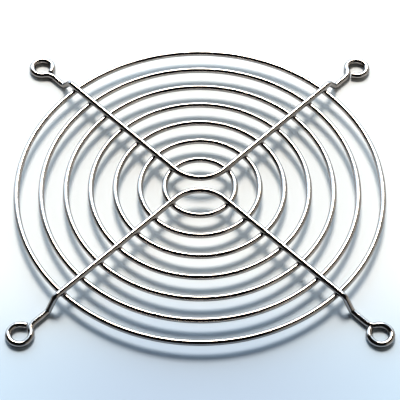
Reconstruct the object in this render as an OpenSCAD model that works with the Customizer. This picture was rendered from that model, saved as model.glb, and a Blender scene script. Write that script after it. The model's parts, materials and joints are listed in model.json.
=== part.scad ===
// Round-wire finger guard for a 120 mm axial fan.
// Flat concentric rings lie under two bent support wires, welded where they cross.
// Each support wire steps down outside the rings and ends in an eyelet at each side.
// Origin: centre of the hole pattern on the mounting face. +Z points away from the fan.

/* [Hole pattern] */
// Distance between the centres of neighbouring eyelets
hole_spacing = 105; // [101:0.25:110]
// Clear diameter inside an eyelet
eyelet_inner_d = 4.8; // [4.4:0.1:6]
// Bend radius of the wire where the leg swings out into the eyelet
offset_bend_r = 3.4; // [2.6:0.1:4]
// Straight wire between the swing outwards and the eyelet's loop
offset_straight = 0.3; // [0.2:0.05:0.6]
// How far short of a full turn the eyelet's loop stops
eyelet_open_angle = 32; // [28:1:40]
// Clear gap between the end of the wire and its own leg
tip_gap = 0.3; // [0.2:0.05:0.8]

/* [Rings] */
// Number of rings
ring_count = 7; // [4:1:8]
// Centre-line diameter of the smallest ring
inner_ring_d = 22; // [16:0.1:28]
// Centre-line diameter of the largest ring
outer_ring_d = 113.9; // [104:0.1:118]
// Wire diameter of the rings
ring_wire_d = 1.8; // [1.2:0.05:2.2]
// Clear height under the rings above the mounting face
ring_clearance = 2.6; // [2:0.1:4]

/* [Support wires] */
// Wire diameter of the two support wires
support_wire_d = 1.9; // [1.2:0.05:2.2]
// Clear gap between the two support wires at the centre of the guard
centre_gap = 3; // [2:0.1:5]
// Bend radius of each support wire at its middle
apex_bend_r = 10.6; // [7:0.1:12]
// Distance past the largest ring's wire to the corner where a leg turns down
step_lead = 1.9; // [1.5:0.05:3]
// Slope of the step down to the mounting face
step_angle = 51; // [45:1:60]
// Bend radius at the top and foot of the step
step_bend_r = 1.6; // [1.2:0.1:2]
// How much thinner a support wire is in its bends, where bending stretches it
bend_thinning = 0.01; // [0.005:0.005:0.03]

/* [Welds] */
// How far a support wire sinks into each ring that it crosses
weld_set_down = 0.3; // [0.05:0.05:0.4]
// How far the metal squeezed out at a weld stands proud of the wires
weld_flash = 0.15; // [0.05:0.05:0.3]

/* [Hidden] */
$fn = 48;

wire_colour = "silver";

// Directions in which a bend turns, as a roll of the bending plane about the wire
LEFT = 0;
UP = 90;
RIGHT = 180;
DOWN = 270;

// Straight wire reaches this far into each bend, so that the two join as one solid
bend_bite = 0.03;

// Heights of the three levels of wire, at the centre line, and of the welds
eyelet_z = support_wire_d / 2;
ring_z = ring_clearance + ring_wire_d / 2;
support_z = ring_z + (ring_wire_d + support_wire_d) / 2 - weld_set_down;
weld_z = ring_z + (ring_wire_d - weld_set_down) / 2;
weld_collar_d = (ring_wire_d + support_wire_d) / 2 + 2 * weld_flash;

// The rings are spaced evenly
ring_pitch = (outer_ring_d - inner_ring_d) / 2 / (ring_count - 1);
function ring_r(i) = inner_ring_d / 2 + (i - 1) * ring_pitch;

// Each leg is the tangent from an eyelet's centre to the bend at the apex
eyelet_offset = hole_spacing / 2;
apex_centre_y = (centre_gap + support_wire_d) / 2 + apex_bend_r;
apex_to_eyelet = norm([eyelet_offset, eyelet_offset - apex_centre_y]);
leg_heading = 90 + atan2(eyelet_offset - apex_centre_y, eyelet_offset) - acos(apex_bend_r / apex_to_eyelet);
leg_reach = sqrt(apex_to_eyelet ^ 2 - apex_bend_r ^ 2);
leg_direction = [cos(leg_heading), sin(leg_heading)];
leg_start = [apex_bend_r * sin(leg_heading), apex_centre_y - apex_bend_r * cos(leg_heading)];

// Distance along the leg, from its start, at which it crosses a circle about the guard's centre
function crossing_station(r) =
    let (along = leg_start * leg_direction)
    sqrt(along ^ 2 + r ^ 2 - leg_start * leg_start) - along;

// Point at which a support wire crosses a circle: on the leg, or on the apex bend for a small circle
function crossing_point(r) =
    let (
        station = crossing_station(r),
        y = (r ^ 2 + apex_centre_y ^ 2 - apex_bend_r ^ 2) / (2 * apex_centre_y)
    )
    station >= 0 ? leg_start + station * leg_direction : [sqrt(r ^ 2 - y ^ 2), y];

// The step down from the rings' level to the mounting face, measured along the leg
step_drop = support_z - eyelet_z;
step_trim = step_bend_r * tan(step_angle / 2);
step_top = crossing_station(outer_ring_d / 2) + ring_wire_d / 2 + step_lead;
step_foot = step_top + step_drop / tan(step_angle);
step_straight = step_drop / sin(step_angle) - 2 * step_trim;
span_straight = step_top - step_trim;

// The eyelet: a swing to the left, a loop to the right, and a straight tip that stops by the leg
eyelet_r = (eyelet_inner_d + support_wire_d) / 2;
offset_span = norm([offset_bend_r + eyelet_r, offset_straight]);
offset_run = sqrt(offset_span ^ 2 - offset_bend_r ^ 2);
offset_turn = acos(offset_bend_r / offset_span) - atan2(offset_straight, offset_bend_r + eyelet_r);
eyelet_turn = 270 + offset_turn - eyelet_open_angle;
foot_straight = leg_reach - offset_run - step_foot - step_trim;

// The tip runs from the end of the loop until tip_gap is left before the leg's bend
offset_centre = [-offset_run, offset_bend_r];
tip_start = -eyelet_r * [cos(eyelet_open_angle), sin(eyelet_open_angle)];
tip_direction = [-sin(eyelet_open_angle), cos(eyelet_open_angle)];
tip_along = (tip_start - offset_centre) * tip_direction;
tip_stop_r = offset_bend_r + support_wire_d / 2 + tip_gap;
tip_length = -tip_along - sqrt(tip_along ^ 2 + tip_stop_r ^ 2 - norm(tip_start - offset_centre) ^ 2);

// Bends of one leg, from the end of its straight over the rings: [straight length, radius, angle, direction]
leg_bends = [
    [0, step_bend_r, step_angle, DOWN],
    [step_straight, step_bend_r, step_angle, UP],
    [foot_straight, offset_bend_r, offset_turn, LEFT],
    [offset_straight, eyelet_r, eyelet_turn, RIGHT],
    [tip_length, 0, 0, LEFT],
];

// Part of a ring of round wire, from the +X axis through the given angle
module wire_arc(wire_d, r, angle) {
    rotate_extrude(angle = angle)
        translate([r, 0])
            circle(d = wire_d);
}

// Straight round wire from the origin along +X, reaching into the bends before and after it
module wire_rod(wire_d, length, bite_after = bend_bite) {
    translate([-bend_bite, 0, 0])
        rotate([0, 90, 0])
            cylinder(d = wire_d, h = bend_bite + length + bite_after);
}

// Wire that starts at the origin along +X and follows a list of bends, each step from the last one's end
module bent_wire(wire_d, bends, i = 0) {
    if (i < len(bends)) {
        length = bends[i][0];
        r = bends[i][1];
        angle = bends[i][2];
        roll = bends[i][3];
        if (length > 0) wire_rod(wire_d, length, bite_after = angle > 0 ? bend_bite : 0);
        translate([length, 0, 0])
            rotate([roll, 0, 0])
                translate([0, r, 0]) {
                    if (angle > 0) rotate([0, 0, -90]) wire_arc(wire_d - bend_thinning, r, angle);
                    rotate([0, 0, angle])
                        translate([0, -r, 0])
                            rotate([-roll, 0, 0])
                                bent_wire(wire_d, bends, i + 1);
                }
    }
}

// Puts its children at the start of a support wire's leg on one side, heading outwards
module at_leg_start(side) {
    translate([side * leg_start.x, leg_start.y, support_z])
        rotate([0, 0, 90 - side * (90 - leg_heading)])
            children();
}

// The stretch of a support wire that lies on the rings: the apex bend and two straight legs
module support_span() {
    translate([0, apex_centre_y, support_z])
        rotate([0, 0, -90 - leg_heading])
            wire_arc(support_wire_d - bend_thinning, apex_bend_r, 2 * leg_heading);
    for (side = [-1, 1])
        at_leg_start(side) wire_rod(support_wire_d, span_straight);
}

// A whole support wire in its rear place, bent from one length of wire
module support_wire() {
    color(wire_colour) {
        support_span();
        for (side = [-1, 1])
            at_leg_start(side)
                translate([span_straight, 0, 0])
                    bent_wire(support_wire_d, leg_bends);
    }
}

module rear_support_wire() {
    support_wire();
}

// The same wire turned half a turn, so that every eyelet winds the same way
module front_support_wire() {
    rotate([0, 0, 180]) support_wire();
}

// One ring, with a collar of squeezed-out metal and a seat for the support wire at each weld
module ring(i) {
    weld = crossing_point(ring_r(i));
    color(wire_colour)
        difference() {
            union() {
                translate([0, 0, ring_z]) wire_arc(ring_wire_d, ring_r(i), 360);
                for (turn = [0, 180], side = [-1, 1])
                    rotate([0, 0, turn])
                        translate([side * weld.x, weld.y, weld_z])
                            sphere(d = weld_collar_d);
            }
            for (turn = [0, 180])
                rotate([0, 0, turn]) support_span();
        }
}

for (i = [1:ring_count])
    ring(i);
rear_support_wire();
front_support_wire();
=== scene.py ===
"""Chromed wire finger guard for a 120 mm fan: seven flat rings under two bent support wires.

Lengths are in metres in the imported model's frame. Z is the guard's axis, and its four eyelets
stand on Z = 0. Every wire is a round profile carried along a centre line of straights and arcs,
and where two wires are welded, both surfaces swell into the same smooth fillet.
"""
import json
import math

import bpy
import numpy as np
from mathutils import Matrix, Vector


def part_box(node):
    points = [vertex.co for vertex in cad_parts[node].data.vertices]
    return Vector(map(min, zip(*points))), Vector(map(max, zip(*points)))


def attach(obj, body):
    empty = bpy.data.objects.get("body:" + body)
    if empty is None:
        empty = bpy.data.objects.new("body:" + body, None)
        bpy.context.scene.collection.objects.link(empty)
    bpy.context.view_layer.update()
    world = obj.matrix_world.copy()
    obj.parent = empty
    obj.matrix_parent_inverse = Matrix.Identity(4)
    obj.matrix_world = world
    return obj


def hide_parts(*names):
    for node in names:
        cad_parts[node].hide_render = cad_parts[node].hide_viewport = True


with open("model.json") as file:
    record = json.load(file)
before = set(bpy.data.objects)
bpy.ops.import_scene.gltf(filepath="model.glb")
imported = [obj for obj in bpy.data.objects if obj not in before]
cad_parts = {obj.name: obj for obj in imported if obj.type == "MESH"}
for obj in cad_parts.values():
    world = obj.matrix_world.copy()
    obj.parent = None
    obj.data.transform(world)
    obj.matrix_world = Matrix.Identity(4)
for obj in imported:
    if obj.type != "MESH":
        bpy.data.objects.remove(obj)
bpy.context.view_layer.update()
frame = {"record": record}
scene = bpy.context.scene
MM = 0.001

# Wire and ring sizes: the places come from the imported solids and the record
RING_WIRE_R = 0.9 * MM
SUPPORT_WIRE_R = 0.95 * MM
RING_COUNT = 7
ring_boxes = [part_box(f"ring_{i + 1}") for i in range(RING_COUNT)]
ring_radii = np.array([high.x - RING_WIRE_R for low, high in ring_boxes])
ring_pitch = (ring_radii[-1] - ring_radii[0]) / (RING_COUNT - 1)
ring_z = ring_boxes[0][0].z + RING_WIRE_R
span_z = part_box("rear_support_wire")[1].z - SUPPORT_WIRE_R
eyelet_z = SUPPORT_WIRE_R
hole_offset = max(mount["pos_m"][0] for mount in frame["record"]["mounts"])
hole_r = frame["record"]["mounts"][0]["dims"]["r_mm"] * MM

# Bends of a support wire
CENTRE_GAP = 3.0 * MM
APEX_BEND_R = 10.6 * MM
STEP_LEAD = 1.9 * MM
STEP_ANGLE = math.radians(51)
STEP_BEND_R = 1.6 * MM
OFFSET_BEND_R = 3.4 * MM
OFFSET_STRAIGHT = 0.3 * MM
EYELET_OPEN_ANGLE = math.radians(32)
TIP_GAP = 0.3 * MM
LEFT, UP, RIGHT, DOWN = (math.radians(roll) for roll in (0, 90, 180, 270))

# Welds: how far the fillet reaches between two wires, from the smallest weld to the largest
WELD_REACH = (0.62 * MM, 0.86 * MM)
WELD_ZONE = 1.9 * MM

# Fillets: steps down the slope, the longest step, and the least slope squared that a step allows for
FILLET_STEPS = 14
LONGEST_STEP = 0.1 * MM
LEAST_SLOPE_SQUARED = 0.3
# Depths inside the other wire between which a point starts to move with the fillet
BURIED_DEPTHS = (-0.17 * MM, -0.07 * MM)
# Movement of the surface that counts as a full weld in the plating and in the painted shade at the
# welds
FULL_WELD = 0.2 * MM

# Ends of a support wire: the quarter circle that takes off the cut edge, and the cut face inside it
END_ROUNDING = 0.14 * MM
END_STEPS = 7
CUT_FACE_RINGS = (0.97, 0.5)

# Fineness of the wire surfaces. Outside a weld's zone the spacing grows by COARSENING with distance
SIDES = 48
WELD_SPACING = 0.07 * MM
BEND_STEP = math.radians(2.5)
PLAIN_SPACING = 0.9 * MM
COARSENING = 1 / 3
STATION_SAMPLE = 0.02 * MM
SAME_STATION = 1e-12

rng = np.random.default_rng(120)
weld_reach = rng.uniform(*WELD_REACH, (RING_COUNT, 2, 2))

# Bearings at which each ring's wire begins and ends
BUTT_JOINTS = np.radians([96, 262, 84, 275, 101, 258, 90])


# Camera: focal length in mm, place in metres, and turn in degrees
FOCAL_LENGTH = 133.68
CAMERA_PLACE = (-0.00189, -0.28533, 0.36742)
CAMERA_TURN = (37.604, -0.226, -0.096)

# Table top and chrome, as linear colours. The table's darker, bluer front colours are painted shade,
# where the light falls off towards the front, darkest in front of the guard's middle
TABLE_REACH = 4.0
TABLE_BEHIND = (0.925, 0.955, 0.965, 1)
TABLE_SHADED_FRONT_SIDES = (0.60, 0.76, 0.90, 1)
TABLE_SHADED_FRONT_MIDDLE = (0.47, 0.58, 0.73, 1)
CHROME_CLEAR = (0.385, 0.36, 0.345, 1)
CHROME_CLOUDED = (0.34, 0.315, 0.305, 1)
# The weld colour is painted shade in the corners between crossing wires, together with a duller
# plating there
CHROME_WELD_DULL_AND_SHADE = (0.25, 0.235, 0.22, 1)
CHROME_EDGE = (0.4, 0.4, 0.4, 1)
MARK_DEPTH = 0.0035 * MM


def add_camera():
    """The camera stands in front of the guard and looks down on it."""
    lens = bpy.data.cameras.new("camera")
    lens.lens = FOCAL_LENGTH
    camera = bpy.data.objects.new("camera", lens)
    camera.location = CAMERA_PLACE
    camera.rotation_euler = [math.radians(angle) for angle in CAMERA_TURN]
    scene.collection.objects.link(camera)
    scene.camera = camera


def unit(v):
    """Vectors scaled to length one."""
    return v / np.linalg.norm(v, axis=-1, keepdims=True)


# Support wire's plan: each leg is the tangent from an eyelet's centre to the bend at the apex
apex_y = CENTRE_GAP / 2 + SUPPORT_WIRE_R + APEX_BEND_R
apex_to_hole = math.hypot(hole_offset, hole_offset - apex_y)
leg_heading = (math.pi / 2 + math.atan2(hole_offset - apex_y, hole_offset)
               - math.acos(APEX_BEND_R / apex_to_hole))
leg_reach = math.sqrt(apex_to_hole ** 2 - APEX_BEND_R ** 2)
leg_direction = np.array([math.cos(leg_heading), math.sin(leg_heading)])
leg_start = np.array([APEX_BEND_R * math.sin(leg_heading),
                      apex_y - APEX_BEND_R * math.cos(leg_heading)])
leg_along = leg_start @ leg_direction


def crossing_station(r):
    """Distance along a leg, from its start, at which it crosses a circle about the guard's axis."""
    return np.sqrt(leg_along ** 2 + r ** 2 - leg_start @ leg_start) - leg_along


weld_stations = crossing_station(ring_radii)


def leg_bends():
    """Steps of one leg from its start: (straight length, bend radius, bend angle, direction)."""
    drop = span_z - eyelet_z
    trim = STEP_BEND_R * math.tan(STEP_ANGLE / 2)
    step_top = weld_stations[-1] + RING_WIRE_R + STEP_LEAD
    step_foot = step_top + drop / math.tan(STEP_ANGLE)
    eyelet_r = hole_r + SUPPORT_WIRE_R
    offset_span = math.hypot(OFFSET_BEND_R + eyelet_r, OFFSET_STRAIGHT)
    offset_run = math.sqrt(offset_span ** 2 - OFFSET_BEND_R ** 2)
    offset_turn = (math.acos(OFFSET_BEND_R / offset_span)
                   - math.atan2(OFFSET_STRAIGHT, OFFSET_BEND_R + eyelet_r))
    # The tip runs straight on from the loop until TIP_GAP is left before the swing's bend
    opening = np.array([math.cos(EYELET_OPEN_ANGLE), math.sin(EYELET_OPEN_ANGLE)])
    to_tip = -eyelet_r * opening - np.array([-offset_run, OFFSET_BEND_R])
    tip_along = to_tip @ np.array([-opening[1], opening[0]])
    tip_stop_r = OFFSET_BEND_R + SUPPORT_WIRE_R + TIP_GAP
    tip_length = -tip_along - math.sqrt(tip_along ** 2 + tip_stop_r ** 2 - to_tip @ to_tip)
    return [
        (step_top - trim, STEP_BEND_R, STEP_ANGLE, DOWN),
        (drop / math.sin(STEP_ANGLE) - 2 * trim, STEP_BEND_R, STEP_ANGLE, UP),
        (leg_reach - offset_run - step_foot - trim, OFFSET_BEND_R, offset_turn, LEFT),
        (OFFSET_STRAIGHT, eyelet_r, 1.5 * math.pi + offset_turn - EYELET_OPEN_ANGLE, RIGHT),
        (tip_length, None, 0, LEFT),
    ]


def walk(start, heading, bends):
    """Centre line as stretches (first station, length, point, tangent, towards, radius).

    A straight moves on along its tangent. An arc turns from its tangent towards the direction
    'towards' about a point one radius away. The frame of tangent, left and up turns with it.
    """
    point = np.array(start, float)
    axes = np.array([[math.cos(heading), math.sin(heading), 0],
                     [-math.sin(heading), math.cos(heading), 0],
                     [0, 0, 1.0]])
    stretches, station = [], 0.0
    for straight, radius, angle, roll in bends:
        if straight:
            stretches.append((station, straight, point, axes[0], axes[1], None))
            point, station = point + straight * axes[0], station + straight
        if angle:
            towards = math.cos(roll) * axes[1] + math.sin(roll) * axes[2]
            stretches.append((station, radius * angle, point, axes[0], towards, radius))
            point = point + radius * (math.sin(angle) * axes[0] + (1 - math.cos(angle)) * towards)
            station += radius * angle
            hinge = np.cross(axes[0], towards)
            across = np.cross(hinge, axes)
            along = (axes @ hinge)[:, None] * hinge
            axes = along + math.cos(angle) * (axes - along) + math.sin(angle) * across
    return stretches, station


def follow(stretches, stations):
    """Points and unit tangents of a centre line at the given stations."""
    points = np.empty((len(stations), 3))
    tangents = np.empty((len(stations), 3))
    for first, length, point, tangent, towards, radius in stretches:
        there = (stations >= first - SAME_STATION) & (stations <= first + length + SAME_STATION)
        run = (stations[there] - first)[:, None]
        if radius is None:
            points[there], tangents[there] = point + run * tangent, tangent
        else:
            turn = run / radius
            points[there] = point + radius * (np.sin(turn) * tangent + (1 - np.cos(turn)) * towards)
            tangents[there] = np.cos(turn) * tangent + np.sin(turn) * towards
    return points, tangents


def spaced_stations(stretches, length, welds):
    """Stations whose spacing is fine at the welds, a set angle on bends, and wide on straights.

    The number of steps wanted up to each point is summed along the wire and divided evenly.
    """
    fine = np.linspace(0, length, int(length / STATION_SAMPLE) + 2)
    spacing = np.full(len(fine), PLAIN_SPACING)
    for first, run, _, _, _, radius in stretches:
        if radius is not None:
            there = (fine >= first) & (fine <= first + run)
            spacing[there] = min(PLAIN_SPACING, radius * BEND_STEP)
    away = np.abs(fine[:, None] - np.append(welds, 2 * length)).min(1)
    outside = np.maximum((away - WELD_ZONE) * COARSENING, 0)
    spacing = np.minimum(spacing, outside + WELD_SPACING)
    wanted = np.concatenate([[0], np.cumsum(np.diff(fine) / spacing[1:])])
    return np.interp(np.linspace(0, wanted[-1], math.ceil(wanted[-1]) + 1), wanted, fine)


def smooth(values, low, high):
    """0 below low, 1 above high, and 3 t squared less 2 t cubed between them."""
    t = np.clip((values - low) / (high - low), 0, 1)
    return t ** 2 * (3 - 2 * t)


def nearest_ring(p):
    """Index of the ring nearest to each point, seen from above."""
    rho = np.linalg.norm(p[..., :2], axis=-1)
    return np.clip(np.rint((rho - ring_radii[0]) / ring_pitch), 0, RING_COUNT - 1).astype(int)


def to_ring_wire(p):
    """Distance from each point to the nearest ring's surface, and the direction away from it."""
    rho = np.linalg.norm(p[..., :2], axis=-1)
    out, height = rho - ring_radii[nearest_ring(p)], p[..., 2] - ring_z
    distance = np.hypot(out, height)
    away = np.concatenate([(out / rho)[..., None] * p[..., :2], height[..., None]], -1)
    return distance - RING_WIRE_R, away / distance[..., None]


def to_support_wire(p):
    """Distance from each point to the nearest straight leg's surface, and the direction away.

    The four legs are mirror images, so the point is folded into the first quarter.
    """
    fold = np.sign(p[..., :2])
    from_start = np.abs(p[..., :2]) - leg_start
    along = np.maximum(from_start @ leg_direction, 0)[..., None]
    beside = (from_start - along * leg_direction) * fold
    away = np.concatenate([beside, (p[..., 2] - span_z)[..., None]], -1)
    distance = np.linalg.norm(away, axis=-1)
    return distance - SUPPORT_WIRE_R, away / distance[..., None]


def swell_into_welds(p, to_own, to_other):
    """Moves a wire's surface out to the fillet at each weld. Returns it with the distance moved.

    The fillet is the smooth union of both wires: the lesser of the distances a and b to them,
    less h squared times reach / 4, where h is 1 - |a - b| / reach, and never below nil. Each
    point flows down the slope of that sum until the sum is nil. Past the middle of the fillet,
    where a is more than b, the surface dives by the square of the excess and leaves the rest to
    the other wire's own surface. Points well inside the other wire stay where they are.
    """
    reach = weld_reach[(nearest_ring(p),) + tuple((p[..., k] > 0).astype(int) for k in (0, 1))]
    share = smooth(to_other(p)[0], *BURIED_DEPTHS)
    moved = p.copy()
    for _ in range(FILLET_STEPS):
        a, away_a = to_own(moved)
        b, away_b = to_other(moved)
        h = np.maximum(1 - np.abs(a - b) / reach, 0)
        past = np.maximum(a - b, 0)
        level = np.minimum(a, b) - h ** 2 * reach / 4 + past ** 2 / reach
        own = np.where(a < b, 1 - h / 2, h / 2) + 2 * past / reach
        other = np.where(a < b, h / 2, 1 - h / 2) - 2 * past / reach
        slope = own[..., None] * away_a + other[..., None] * away_b
        steepness = np.maximum((slope ** 2).sum(-1), LEAST_SLOPE_SQUARED)
        step = np.clip(-level / steepness, -LONGEST_STEP, LONGEST_STEP)
        moved = moved + np.where(b < reach, step, 0)[..., None] * slope
    moved = p + share[..., None] * (moved - p)
    return moved, np.linalg.norm(moved - p, axis=-1)


def wire_surface(points, tangents, radii):
    """Round profile carried along a centre line: a grid of stations by sides.

    Each point is the centre line's, plus the radius times (the cosine of the profile's angle
    times the level direction square to the wire, plus its sine times the upward one).
    """
    level = unit(np.cross(tangents, [0, 0, 1.0]))
    upward = np.cross(level, tangents)
    angle = np.arange(SIDES) * 2 * math.pi / SIDES
    cosine, sine = np.cos(angle)[:, None], np.sin(angle)[:, None]
    return points[:, None] + radii[:, None, None] * (cosine * level[:, None] + sine * upward[:, None])


def wire_mesh(name, grid, swell, stations, radii, length=None):
    """Mesh of a grid of stations by sides: a closed loop of that length, or a capped wire.

    Each corner carries 'drawn', its place on the wire as it was before bending: along it, and
    across its profile. Each point carries 'weld', from nil on plain wire to 1 in a thick fillet.
    """
    count = len(stations)
    if length:
        stations, radii = np.append(stations, length), np.append(radii, radii[0])
    angle = np.arange(SIDES) * 2 * math.pi / SIDES
    drawn = np.stack([stations[:, None] + 0 * angle, radii[:, None] * np.cos(angle),
                      radii[:, None] * np.sin(angle)], -1)
    row, side = np.meshgrid(np.arange(len(stations) - 1), np.arange(SIDES), indexing="ij")
    rows = np.stack([row, row + 1, row + 1, row], -1).reshape(-1, 4)
    sides = np.stack([side, side, side + 1, side + 1], -1).reshape(-1, 4) % SIDES
    corners = [((rows % count) * SIDES + sides).reshape(-1)]
    places = [drawn[rows, sides].reshape(-1, 3)]
    sizes = [np.full(len(rows), 4)]
    vertices, weld = grid.reshape(-1, 3), swell.reshape(-1)
    if not length:
        poles = grid[[0, -1]].mean(1)
        vertices, weld = np.concatenate([vertices, poles]), np.append(weld, [0, 0])
        around = np.arange(SIDES)
        beside = (around + 1) % SIDES
        for end, (first, second) in enumerate(((around, beside), (beside, around))):
            base = end * (count - 1) * SIDES
            pole = np.full(SIDES, count * SIDES + end)
            corners.append(np.stack([base + first, base + second, pole], -1).reshape(-1))
            # -end is the first station at the first end and the last station at the other
            centre = np.tile([stations[-end], 0, 0], (SIDES, 1))
            fan = np.stack([drawn[-end, first], drawn[-end, second], centre], 1)
            places.append(fan.reshape(-1, 3))
            sizes.append(np.full(SIDES, 3))
    sizes, corners = np.concatenate(sizes), np.concatenate(corners)
    mesh = bpy.data.meshes.new(name)
    mesh.vertices.add(len(vertices))
    mesh.vertices.foreach_set("co", vertices.astype(np.float32).reshape(-1))
    mesh.loops.add(len(corners))
    mesh.loops.foreach_set("vertex_index", corners.astype(np.int32))
    mesh.polygons.add(len(sizes))
    mesh.polygons.foreach_set("loop_start", (np.cumsum(sizes) - sizes).astype(np.int32))
    mesh.update(calc_edges=True)
    mesh.shade_smooth()
    layer = mesh.attributes.new("drawn", "FLOAT_VECTOR", "CORNER")
    layer.data.foreach_set("vector", np.concatenate(places).astype(np.float32).reshape(-1))
    layer = mesh.attributes.new("weld", "FLOAT", "POINT")
    layer.data.foreach_set("value", np.clip(weld / FULL_WELD, 0, 1).astype(np.float32))
    return mesh


def add_wire(mesh, replaced, finish):
    """Puts a wire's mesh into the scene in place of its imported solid."""
    mesh.materials.append(finish)
    piece = bpy.data.objects.new(mesh.name, mesh)
    scene.collection.objects.link(piece)
    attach(piece, "root")
    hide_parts(replaced)


def add_ring_wire(i, finish):
    """One ring: a full circle of wire that swells at its four welds."""
    r = ring_radii[i]
    joint = BUTT_JOINTS[i]
    start = (r * math.cos(joint), r * math.sin(joint), ring_z)
    stretches, length = walk(start, joint + math.pi / 2, [(0, r, 2 * math.pi, LEFT)])
    weld = leg_start + weld_stations[i] * leg_direction
    quarter = math.atan2(weld[1], weld[0])
    bearings = np.array([quarter, math.pi - quarter, math.pi + quarter, -quarter])
    welds = (bearings - joint) % (2 * math.pi) * r
    stations = spaced_stations(stretches, length, welds)[:-1]
    points, tangents = follow(stretches, stations)
    radii = np.full(len(stations), RING_WIRE_R)
    grid = wire_surface(points, tangents, radii)
    grid, swell = swell_into_welds(grid, to_ring_wire, to_support_wire)
    mesh = wire_mesh(f"ring_wire_{i + 1}", grid, swell, stations, radii, length)
    add_wire(mesh, f"ring_{i + 1}", finish)


def add_support_wire(place, turn, finish):
    """One support wire from tip to tip: a leg walked backwards, the apex bend, and a leg."""
    bends = leg_bends()
    left_start = (-leg_start[0], leg_start[1], span_z)
    left, leg_length = walk(left_start, math.pi - leg_heading, bends)
    right, _ = walk((*leg_start, span_z), leg_heading, bends)
    apex, apex_length = walk(left_start, -leg_heading, [(0, APEX_BEND_R, 2 * leg_heading, LEFT)])
    leg_spots = spaced_stations(right, leg_length, weld_stations)
    leg_spots = leg_spots[leg_spots < leg_length - 1.5 * END_ROUNDING]
    rounding = END_ROUNDING * (1 - np.sin(np.linspace(0, math.pi / 2, END_STEPS)))
    face = len(CUT_FACE_RINGS)
    leg_spots = np.concatenate([leg_spots, leg_length - rounding, np.full(face, leg_length)])
    apex_spots = spaced_stations(apex, apex_length, [])[1:-1]
    left_points, left_tangents = follow(left, leg_spots)
    apex_points, apex_tangents = follow(apex, apex_spots)
    right_points, right_tangents = follow(right, leg_spots)
    points = np.concatenate([left_points[::-1], apex_points, right_points])
    tangents = np.concatenate([-left_tangents[::-1], apex_tangents, right_tangents])
    stations = np.concatenate([leg_length - leg_spots[::-1], leg_length + apex_spots,
                               leg_length + apex_length + leg_spots])
    end = np.minimum(stations, stations[-1] - stations)
    short = np.maximum(END_ROUNDING - end, 0)
    radii = SUPPORT_WIRE_R - END_ROUNDING + np.sqrt(END_ROUNDING ** 2 - short ** 2)
    radii[-face:] *= CUT_FACE_RINGS
    radii[:face] = radii[-face:][::-1]
    half_turn = np.array([turn, turn, 1])
    grid = wire_surface(points * half_turn, tangents * half_turn, radii)
    grid, swell = swell_into_welds(grid, to_support_wire, to_ring_wire)
    mesh = wire_mesh(f"{place}_wire", grid, swell, stations, radii)
    add_wire(mesh, f"{place}_support_wire", finish)


class Signal:
    """One socket of a node tree. Arithmetic on it adds Math nodes, and add() any other node."""

    def __init__(self, tree, socket=None):
        self.tree, self.socket = tree, socket

    def add(self, kind, settings=(), inputs=(), output=0):
        """Adds a node of a type, with its settings first, then values or links on its sockets."""
        node = self.tree.nodes.new(kind)
        for name, value in dict(settings).items():
            setattr(node, name, value)
        for name, value in dict(inputs).items():
            if isinstance(value, Signal):
                self.tree.links.new(value.socket, node.inputs[name])
            else:
                node.inputs[name].default_value = value
        return Signal(self.tree, node.outputs[output] if node.outputs else None)

    def beside(self, output):
        """Another output of the node that this signal leaves."""
        return Signal(self.tree, self.socket.node.outputs[output])

    def math(self, operation, *values):
        return self.add("ShaderNodeMath", {"operation": operation}, enumerate(values))

    def __add__(self, other):
        return self.math("ADD", self, other)

    def __radd__(self, other):
        return self.math("ADD", other, self)

    def __sub__(self, other):
        return self.math("SUBTRACT", self, other)

    def __rsub__(self, other):
        return self.math("SUBTRACT", other, self)

    def __mul__(self, other):
        return self.math("MULTIPLY", self, other)

    def __rmul__(self, other):
        return self.math("MULTIPLY", other, self)

    def rise(self, low, high):
        """0 below low, 1 above high, and smooth between them."""
        return self.add("ShaderNodeMapRange", {"interpolation_type": "SMOOTHSTEP"},
                        {"Value": self, "From Min": low, "From Max": high})

    def mix(self, low, high):
        """One colour where this signal is 0 and the other where it is 1."""
        return self.add("ShaderNodeMix", {"data_type": "RGBA"}, {0: self, 6: low, 7: high}, 2)


def chrome_plate():
    """Bright chrome over drawn steel wire: clear along the wire, duller and warmer at the welds,
    where the darker colour is also painted shade in the corners between the crossing wires.
    """
    material = bpy.data.materials.new("chrome_plate")
    material.use_nodes = True
    tree = material.node_tree
    tree.nodes.clear()
    start = Signal(tree)
    drawn = start.add("ShaderNodeAttribute", {"attribute_name": "drawn"}, output=1)
    weld = start.add("ShaderNodeAttribute", {"attribute_name": "weld"}, output=2)

    def noise(stretch, detail, roughness=0.5):
        """Noise on the straightened wire, at so many features a metre along and across it."""
        place = drawn.add("ShaderNodeVectorMath", {"operation": "MULTIPLY"}, {0: drawn, 1: stretch})
        return drawn.add("ShaderNodeTexNoise", {}, {
            "Vector": place, "Scale": 1.0, "Detail": detail, "Roughness": roughness})

    cloud = noise((90, 250, 250), 3)
    draw_lines = noise((70, 6500, 6500), 2)
    ripple = noise((420, 900, 900), 2)
    pits = noise((5200, 5200, 5200), 1)
    at_weld = weld.rise(0.02, 0.55)
    clear = cloud.rise(0.35, 0.7).mix(CHROME_CLEAR, CHROME_CLOUDED)
    # Painted shade: the weld fillets, in the corners between crossing wires, take the darker, warmer
    # colour, along with a duller plating
    colour = (at_weld * (0.35 + 0.5 * cloud)).mix(clear, CHROME_WELD_DULL_AND_SHADE)
    roughness = 0.03 + 0.03 * cloud + 0.02 * draw_lines + 0.2 * (at_weld * ripple)
    height = 0.4 * draw_lines + 0.6 * ripple + at_weld * (2.5 * pits)
    bump = start.add("ShaderNodeBump", {}, {
        "Strength": 1.0, "Distance": MARK_DEPTH, "Height": height})
    surface = start.add("ShaderNodeBsdfPrincipled", {}, {
        "Base Color": colour, "Metallic": 1.0, "Roughness": roughness,
        "Specular Tint": CHROME_EDGE, "Normal": bump})
    start.add("ShaderNodeOutputMaterial", {}, {"Surface": surface})
    return material


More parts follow.
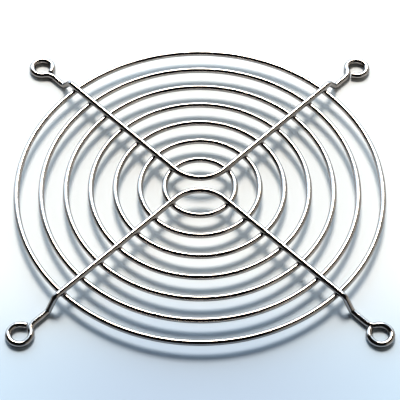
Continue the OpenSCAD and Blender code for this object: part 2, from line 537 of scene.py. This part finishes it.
def add_floor():
    """A pale table top, near white behind the guard, with painted shade in front of it: darker and
    bluer towards the front, and darkest in front of the guard's middle.
    """
    material = bpy.data.materials.new("pale_table")
    material.use_nodes = True
    tree = material.node_tree
    tree.nodes.clear()
    start = Signal(tree)
    place = start.add("ShaderNodeTexCoord", output=3)
    axes = place.add("ShaderNodeSeparateXYZ", {}, {0: place})
    across, along = (axes.beside(k) for k in (0, 1))
    # Painted shade: the colour darkens and turns bluer towards the front, where the light falls off,
    # and most of all in front of the guard's middle
    front_shade = (-1.0 * along).rise(0.02, 0.075)
    middle = 1 - across.math("ABSOLUTE", across).rise(0.01, 0.09)
    sides = front_shade.mix(TABLE_BEHIND, TABLE_SHADED_FRONT_SIDES)
    colour = (front_shade * middle).mix(sides, TABLE_SHADED_FRONT_MIDDLE)
    surface = start.add("ShaderNodeBsdfPrincipled", {}, {"Base Color": colour, "Roughness": 0.6})
    start.add("ShaderNodeOutputMaterial", {}, {"Surface": surface})
    mesh = bpy.data.meshes.new("table_top")
    corners = [(TABLE_REACH * x, TABLE_REACH * y, 0) for x, y in ((-1, -1), (1, -1), (1, 1), (-1, 1))]
    mesh.from_pydata(corners, [], [(0, 1, 2, 3)])
    mesh.materials.append(material)
    table = bpy.data.objects.new("table_top", mesh)
    scene.collection.objects.link(table)


def light_the_studio():
    """A soft main light high behind the guard, a bright wall low behind it, and dim surroundings."""
    lamp = bpy.data.lights.new("main_light", "SUN")
    lamp.energy = 2.8
    lamp.color = (1.0, 0.93, 0.84)
    lamp.angle = math.radians(18)
    light = bpy.data.objects.new("main_light", lamp)
    light.rotation_euler = (math.radians(-40), 0, 0)
    scene.collection.objects.link(light)

    world = bpy.data.worlds.new("studio")
    world.use_nodes = True
    scene.world = world
    tree = world.node_tree
    tree.nodes.clear()
    start = Signal(tree)
    direction = start.add("ShaderNodeTexCoord", output=0)
    axes = direction.add("ShaderNodeSeparateXYZ", {}, {0: direction})
    x, y, z = (axes.beside(k) for k in range(3))
    bearing = x.math("ARCTAN2", x, y)
    height = z.math("ARCSINE", z)

    def wall(left, right, top, soft=8):
        """1 on a stretch of wall between two bearings, up to a height, in degrees from +Y."""
        inside = bearing.rise(math.radians(left - soft), math.radians(left + soft))
        beyond = bearing.rise(math.radians(right - soft), math.radians(right + soft))
        above = height.rise(math.radians(top - soft), math.radians(top + soft))
        return inside * (1 - beyond) * (1 - above)

    horizon = 1 - height.math("ABSOLUTE", height).rise(math.radians(6), math.radians(13))
    cool = 2.9 * wall(-56, 40, 45)
    warm = 0.8 * wall(40, 60, 44) + 0.5 * wall(60, 140, 42)
    dim = 0.01 + 0.08 * horizon
    colour = start.add("ShaderNodeCombineColor", {}, {
        "Red": 0.8 * cool + 1.06 * warm + dim,
        "Green": cool + warm + dim,
        "Blue": 1.18 * cool + 0.88 * warm + dim})
    background = start.add("ShaderNodeBackground", {}, {"Color": colour, "Strength": 1.0})
    start.add("ShaderNodeOutputWorld", {}, {"Surface": background})


scene.view_settings.view_transform = "Standard"
add_camera()
light_the_studio()
add_floor()
chrome = chrome_plate()
for i in range(RING_COUNT):
    add_ring_wire(i, chrome)
add_support_wire("rear", 1, chrome)
add_support_wire("front", -1, chrome)
